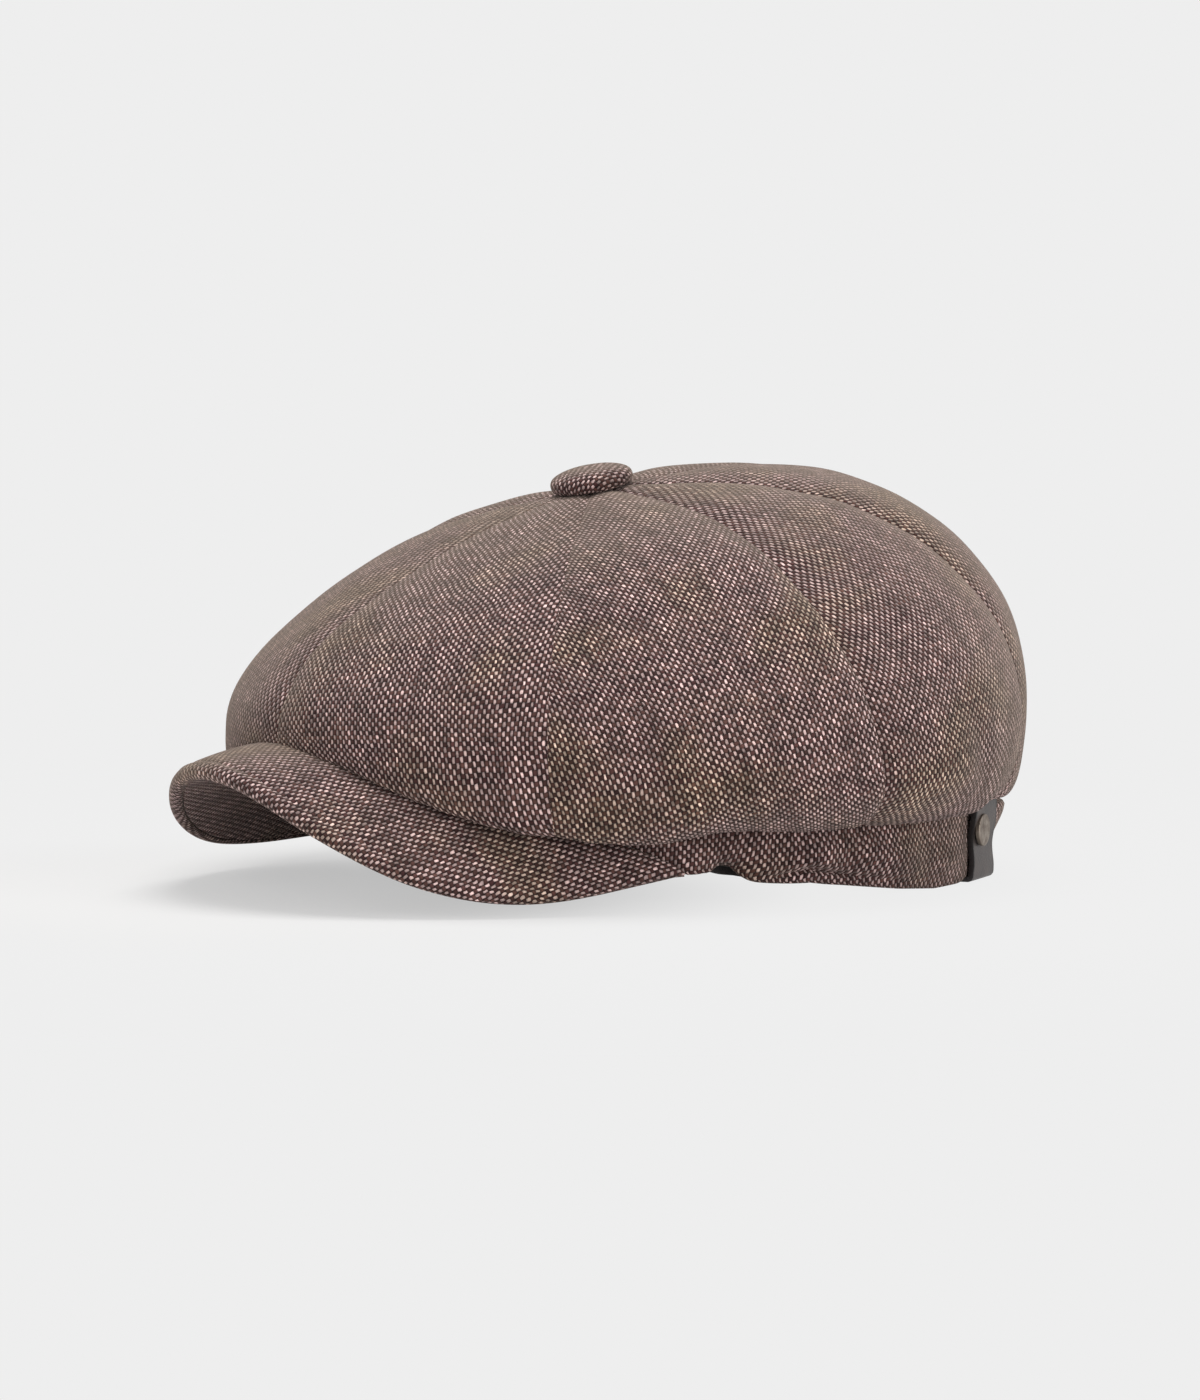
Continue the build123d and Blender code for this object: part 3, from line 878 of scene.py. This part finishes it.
bulge = 0.0004 * bell(heights - foot, 0.0016, 0.0014)
points = on_band(turns, heights, sweat_inset - bulge)
width = lengths(points, 1)
places = np.stack([width, heights - foot - stitch_rise + sweat_rise], -1)
sweatband = cloth_piece("sweatband_twill", points, places, sweat_cloth, twill)
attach(sweatband, "cap")
declare_sheet(points, "sweatband")

# ------------ visor
# A curved plastic board between two covers of the tweed.  The top cover is drawn over the
# board's rim and sewn to the under cover just beneath it, and all three are sewn to the band.
temple_turn = 67.5
temple_x = 0.08084
temple_height = 0.0083
root_height = 0.041
peak_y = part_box("visor_top_cover")[0].y
peak_height = 0.0356
wing_height = 0.0009
visor_gap = 0.0004
visor_half = 0.0022
board_thickness = 0.0016
board_least_half = 0.0019
visor_cloth = 0.0007
visor_end = 0.992
end_rise = 0.0010
visor_columns = 141
visor_rows = 44
right_lift = 0.0062
left_lift = 0.0016
rim_groove = 0.0042
groove_depth = 0.0004
groove_width = 0.0006
visor_crest = 0.0008
right_crest = 0.0024
board_grey = (0.62, 0.62, 0.60, 1.0)


def visor_spans(share):
    """Root and edge of the visor at a share from the right temple (-1) to the left (1)."""
    turn = share * temple_turn
    slope = (root_height - temple_height) / (temple_y + band_half_length)
    lifted = end_rise * np.abs(share) ** 20
    height = temple_height + slope * (temple_y - on_oval(turn)[1]) + lifted
    root = np.stack([*on_oval(turn, visor_gap), height], -1)
    ahead, aside = np.cos(share * np.pi / 2), np.sin(share * np.pi / 2)
    height = wing_height + (peak_height - wing_height) * ahead**4.1 + lifted
    height = height + (temple_height - wing_height) * np.abs(aside) ** 24
    loose = 1 - np.abs(aside) ** 24.6
    for lift, way in ((right_lift, -aside), (left_lift, aside)):
        height = height + lift * unit(way) ** 1.5 * loose
    edge = np.stack([temple_x * aside, temple_y + (peak_y - temple_y) * ahead**0.9, height], -1)
    return root, edge


shares = np.linspace(-visor_end, visor_end, visor_columns)
roots, edges = visor_spans(shares)
spans = np.linalg.norm(edges - roots, axis=-1)
outwards = (edges - roots) / spans[:, None]
sideways = np.gradient(roots + edges, axis=0)
upwards = np.cross(outwards, sideways)
upwards = upwards / np.linalg.norm(upwards, axis=-1, keepdims=True)
halves = np.minimum(visor_half, 0.42 * spans)


def on_visor(run, height):
    """Points of the visor at a run from the root and a height above its middle, per column."""
    return roots + outwards * run[..., None] + upwards * height[..., None]


def corner(a, b, from_a, from_b, side):
    """Point of the flat plane at given distances from two others, to one side of them."""
    apart = abs(b - a)
    along = (from_a**2 - from_b**2 + apart**2) / (2 * apart)
    aside = np.sqrt(max(from_a**2 - along**2, 0))
    return a + (b - a) / apart * (along + 1j * side * aside)


def unrolled():
    """Ends of the visor's spans, laid flat triangle by triangle from its middle."""
    flat_roots = np.zeros(visor_columns, complex)
    flat_edges = flat_roots - 1j * spans
    middle = visor_columns // 2
    for side, stop in ((1, visor_columns), (-1, -1)):
        for here in range(middle + side, stop, side):
            last = here - side
            root, edge = flat_roots[last], flat_edges[last]
            edge_step = np.linalg.norm(edges[here] - edges[last])
            root_step = np.linalg.norm(roots[here] - roots[last])
            brace = np.linalg.norm(edges[here] - roots[last])
            flat_edges[here] = corner(root, edge, brace, edge_step, side)
            flat_roots[here] = corner(root, flat_edges[here], root_step, spans[here], side)
    return flat_roots, flat_edges


flat_roots, flat_edges = unrolled()


def visor_places(run, shift):
    """Places on the flat cloth at a run of cloth from the root."""
    flat = flat_roots + (flat_edges - flat_roots) * run / spans
    return np.stack([flat.real, flat.imag], -1) + shift


def finish_visor(piece):
    """Bakes a visor layer's placement into its mesh."""
    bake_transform(piece)


face = steps(visor_rows) ** 0.8 * (spans - halves)
on_right = unit(0.3 - shares) * unit((1 + shares) / 0.4)
puff = (visor_crest + right_crest * on_right) * np.sin(np.pi * unit(face / spans))
puff = puff - groove_depth * bell(spans - face, rim_groove, groove_width)
puff = puff * unit(spans / 0.02)
angle = np.linspace(0, np.pi, 13)[1:, None]
roll_run = spans - halves + halves * np.sin(angle)
roll_height = halves * np.cos(angle)
run = np.vstack([face, roll_run, spans - halves * 1.40, spans - halves * 1.47])
height = np.vstack([halves + puff, roll_height, -halves * 0.97, -halves * 0.82])
points = on_visor(run, height)
uneven = 0.0004 * ripple(points, 0.022, 6.0) * unit(run / spans)
points = points + upwards * uneven[..., None]
beyond = np.vstack([halves * angle, halves * (np.pi + 0.4), halves * (np.pi + 0.8)])
cloth_run = np.vstack([face, spans - halves + beyond])
places = visor_places(cloth_run, 1.3)
top_cover = cloth_piece("visor_top_cloth", points, places, visor_cloth, tweed)
finish_visor(top_cover)
declare_sheet(points, "visor_top_cover")

under = steps(visor_rows)[::-1] * (spans - halves * 1.72)
run = np.vstack([spans - halves * 1.50, spans - halves * 1.57, under])
height = np.vstack([-halves * 0.82, -halves * 0.97, -halves + 0 * under])
points = on_visor(run, height)
places = visor_places(run, 2.1)
under_cover = cloth_piece("visor_under_cloth", points, places, visor_cloth, tweed)
finish_visor(under_cover)
declare_sheet(points, "visor_under_cover")

board_finish, shader = new_finish("Visor board", 0.55)
grit = speckle(object_place(shader), 700.0, 3.0)
coat(shader, shade(board_grey, grit * 0.2 + 0.85), grit * 0.3 + 0.4, grit, 0.00008)
run = steps(20) * (spans - halves * 0.6)
points = on_visor(run, board_thickness / 2 + 0 * run)[:, halves > board_least_half]
thickness = board_thickness * 0.9
board = cloth_piece("visor_board_plastic", points, points[..., :2], thickness, board_finish)
finish_visor(board)
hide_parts("visor_board")

# ------------ leather tab
# A strap of smooth dark leather, folded up under the headband at the wearer's left rear.  Its
# cut edges are burnished nearly black.
tab_width = 0.0168
tab_leather = 0.0015
tab_outside = 0.0025
tab_twist = np.radians(4.0)
tab_inside = -0.0059
tab_outer_top = 0.0235
tab_inner_top = 0.018
tab_corner = 0.0016
tab_flare = 0.0004
tab_lean = 0.0010
leather_brown = (0.082, 0.066, 0.061, 1.0)
leather_deep = (0.040, 0.032, 0.030, 1.0)
leather_black = (0.012, 0.009, 0.009, 1.0)


def leather_finish(name, edge_only):
    """Fine-grained leather, darker along its cut edges."""
    leather, shader = new_finish(name, 0.45, Specular_IOR_Level=0.4)
    place = cloth_place(shader)
    values = {"Vector": place, "Scale": 1700.0}
    pores = new_node(shader.id_data, "TexVoronoi", values, "Distance")
    clouds = speckle(place, 130.0, 3.0)
    colour = mix(fade(clouds, 0.3, 0.7), leather_deep, leather_brown)
    margin = tab_width / 2 - abs(split(place)[0])
    worn = 1.0 - fade(margin, 0.0002, 0.0012)
    colour = leather_black if edge_only else mix(worn, colour, leather_black)
    colour = shade(colour, clouds * 0.3 + 0.85)
    coat(shader, colour, clouds * 0.25 + 0.34, pores * 0.5 + clouds, 0.00012)
    return leather


def tab_path():
    """The strap's outer face from its outer top, under the band and up inside."""
    c = tab_corner
    down = np.linspace((tab_outside, tab_outer_top), (tab_outside, c), 26)
    turn = np.radians(np.linspace(0, 90, 8))[1:, None]
    first = np.hstack([tab_outside - c + c * np.cos(turn), c - c * np.sin(turn)])
    below = np.linspace((tab_outside - c, 0), (tab_inside + c, 0), 6)[1:]
    second = np.hstack([tab_inside + c - c * np.sin(turn), c - c * np.cos(turn)])
    up = np.linspace((tab_inside, c), (tab_inside, tab_inner_top), 20)[1:]
    return np.vstack([down, first, below, second, up])


def leaning(height):
    """How far the strap's outer side stands out further towards its top."""
    return tab_lean * unit((height - 0.009) / 0.013) ** 1.3


path = tab_path()
across = np.linspace(-tab_width / 2, tab_width / 2, 25)[None]
aside, ahead = heading(tab_turn)
tab_middle = Vector((*on_oval(tab_turn), 0))
tab_normal = Vector((aside / band_half_width, -ahead / band_half_length, 0))
tab_normal.normalize()
tab_normal.rotate(Matrix.Rotation(-tab_twist, 3, "Z"))
tab_along = Vector((-tab_normal.y, tab_normal.x, 0))
out, height = path[:, :1], path[:, 1:]
flare = unit((height - 0.012) / 0.010) ** 2 + 0.4 * unit(1 - height / 0.004)
across = across * (1 + flare * tab_flare / (tab_width / 2))
sag = across**2 / (2 * 0.095)
cupped = 0.0003 * (across / (tab_width / 2)) ** 2
out = out - sag + np.where(out > 0, cupped, -cupped)
out = out + np.where(out > 0, leaning(height), 0)
out = out + 0.0003 * np.sin(height * 420 + across * 90) * unit(height / 0.004)
points = np.array(tab_middle) + out[..., None] * tab_normal + across[..., None] * tab_along
points[..., 2] = height + 0 * across
places = np.stack([across + 0 * height, lengths(points, 0)], -1)
tab = cloth_piece("leather_strap", points, places, tab_leather, leather_finish("Leather", False))
tab.data.materials.append(leather_finish("Burnished edge", True))
tab.modifiers["Thickness"].material_offset_rim = 1
soft_edge = tab.modifiers.new("Soft edge", "BEVEL")
soft_edge.width = 0.0003
soft_edge.segments = 3
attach(tab, "cap")
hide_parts("leather_tab")
tab_length = float(lengths(points, 0)[-1].max())

# ------------ rivet
# A turned brass rivet with an aged, unpolished face goes through the strap and the band, and
# is closed on a smaller plate inside.
rivet_height = 0.0143
rivet_aside = -0.0030
cap_radius = 0.0045
cap_depth = 0.0013
back_radius = 0.0035
back_depth = 0.0008
brass_worn = (0.34, 0.29, 0.24, 1.0)
brass_dark = (0.17, 0.135, 0.112, 1.0)

aged_brass, shader = new_finish("Aged brass", 0.5, Metallic=1.0)
place = object_place(shader)
tarnish = fade(speckle(place, 420.0, 4.0), 0.2, 0.8)
colour = mix(tarnish, brass_worn, brass_dark)
coat(shader, colour, tarnish * 0.25 + 0.38, speckle(place, 4200.0), 0.00005)


def rivet_disc(name, node, radius, depth, out, facing):
    """Rivet head turned with a rim and a shallow dish, standing out from the strap."""
    middle = (0, 0, depth / 2)
    bpy.ops.mesh.primitive_cylinder_add(vertices=48, radius=radius, depth=depth, location=middle)
    head = bpy.context.active_object
    head.name = name
    bpy.ops.object.transform_apply()
    for inset, lift in ((0.10, 0.0), (0.08, -0.28), (0.35, 0.16)):
        for face in head.data.polygons:
            face.select = face.normal.z > 0.9 and len(face.vertices) > 4
        bpy.ops.object.mode_set(mode="EDIT")
        bpy.ops.mesh.inset(thickness=inset * radius)
        bpy.ops.transform.translate(value=(0, 0, lift * depth))
        bpy.ops.object.mode_set(mode="OBJECT")
    side = Vector((0, 0, 1)).cross(facing)
    turn = Matrix((side, facing.cross(side), facing)).transposed().to_4x4()
    middle = tab_middle + tab_normal * out + tab_along * rivet_aside + Vector((0, 0, rivet_height))
    head.data.transform(Matrix.Translation(middle) @ turn)
    edge = head.modifiers.new("Edge", "BEVEL")
    edge.width = radius * 0.05
    edge.segments = 3
    head.data.materials.append(aged_brass)
    bpy.ops.object.shade_smooth_by_angle(angle=np.radians(40))
    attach(head, "cap")
    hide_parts(node)


rivet_out = tab_outside + leaning(rivet_height)
rivet_disc("rivet_face", "tab_rivet_cap", cap_radius, cap_depth, rivet_out, tab_normal)
rivet_disc("rivet_plate", "tab_rivet_back", back_radius, back_depth, tab_inside, -tab_normal)

# ------------ studio
# A pale floor and backdrop under large soft lamps, seen from the front of the wearer's left.
# The floor shows its even colour to the camera, with a light shadow under the cap.
aim = Vector((0.0025, -0.0162, 0.050))
view_turn = np.radians(56.54)
view_rise = np.radians(4.52)
view_distance = 1.5
view_lens = 137.0
lamp_size = 1.2
world_glow = 0.39
backdrop_pale = (0.855, 0.855, 0.855, 1.0)
floor_pale = (0.84, 0.83, 0.82, 1.0)
under_visor = (-0.02, -0.115, 0.0)

camera = bpy.data.objects.new("camera", bpy.data.cameras.new("camera"))
bpy.context.collection.objects.link(camera)
level = np.cos(view_rise)
back = Vector((np.sin(view_turn) * level, -np.cos(view_turn) * level, np.sin(view_rise)))
camera.location = aim + back * view_distance
camera.rotation_euler = back.to_track_quat("Z", "Y").to_euler()
camera.data.lens = view_lens
bpy.context.scene.camera = camera

bpy.ops.mesh.primitive_plane_add(size=12.0, location=(0, 0, -0.0002))
floor = bpy.context.active_object
floor.name = "floor"
bpy.ops.object.transform_apply()
floor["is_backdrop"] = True
floor_paint, matt = new_finish("Floor", 1.0, Base_Color=floor_pale, Specular_IOR_Level=0.0)
tree = floor_paint.node_tree
place = object_place(matt)
from_middle = new_node(tree, "VectorMath", (place,), "Value", operation="LENGTH")
from_visor = new_node(tree, "VectorMath", (place, under_visor), "Value", operation="DISTANCE")
away = fade(from_middle, 0.12, 0.36)
off_visor = fade(from_visor, 0.05, 0.16)
even = new_node(tree, "Emission", (backdrop_pale, off_visor * 0.12 + 0.88))
even_share = off_visor * 0.31 + (away * 0.03 + 0.66)


def seen_by_eye(tree):
    """1 for rays from the camera and those seen in metal or through glass."""
    kinds = ("Is Camera Ray", "Is Glossy Ray", "Is Transmission Ray")
    camera, glossy, through = (new_node(tree, "LightPath", output=kind) for kind in kinds)
    return calc("MAXIMUM", calc("MAXIMUM", camera, glossy), through)


def show_instead(share, usual, seen, end):
    """Shows another shader than a usual node's, by a share, at the end of its tree."""
    values = (share, Signal(usual.outputs[0]), seen)
    wire(seen.tree.nodes[end].inputs[0], new_node(seen.tree, "MixShader", values))


show_instead(seen_by_eye(tree) * even_share, matt, even, "Material Output")
floor.data.materials.append(floor_paint)


def lamp(name, place, power):
    """Square soft lamp that looks at the cap."""
    light = bpy.data.lights.new(name, "AREA")
    light.size = lamp_size
    light.energy = power
    body = bpy.data.objects.new(name, light)
    bpy.context.collection.objects.link(body)
    body.location = place
    body.rotation_euler = (Vector(place) - aim).to_track_quat("Z", "Y").to_euler()


lamp("top_light", (0.15, 0.10, 1.7), 27.0)
lamp("left_light", (-0.2, -1.7, 1.0), 9.0)
lamp("right_light", (1.60, 0.20, 0.22), 16.5)

world = bpy.data.worlds.new("studio")
world.use_nodes = True
bpy.context.scene.world = world
tree = world.node_tree
glow = tree.nodes["Background"]
glow.inputs["Color"].default_value = (1, 1, 1, 1)
glow.inputs["Strength"].default_value = world_glow
backdrop = new_node(tree, "Background", (backdrop_pale,))
show_instead(seen_by_eye(tree), glow, backdrop, "World Output")

bpy.context.scene.view_settings.view_transform = "Standard"

low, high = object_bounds()
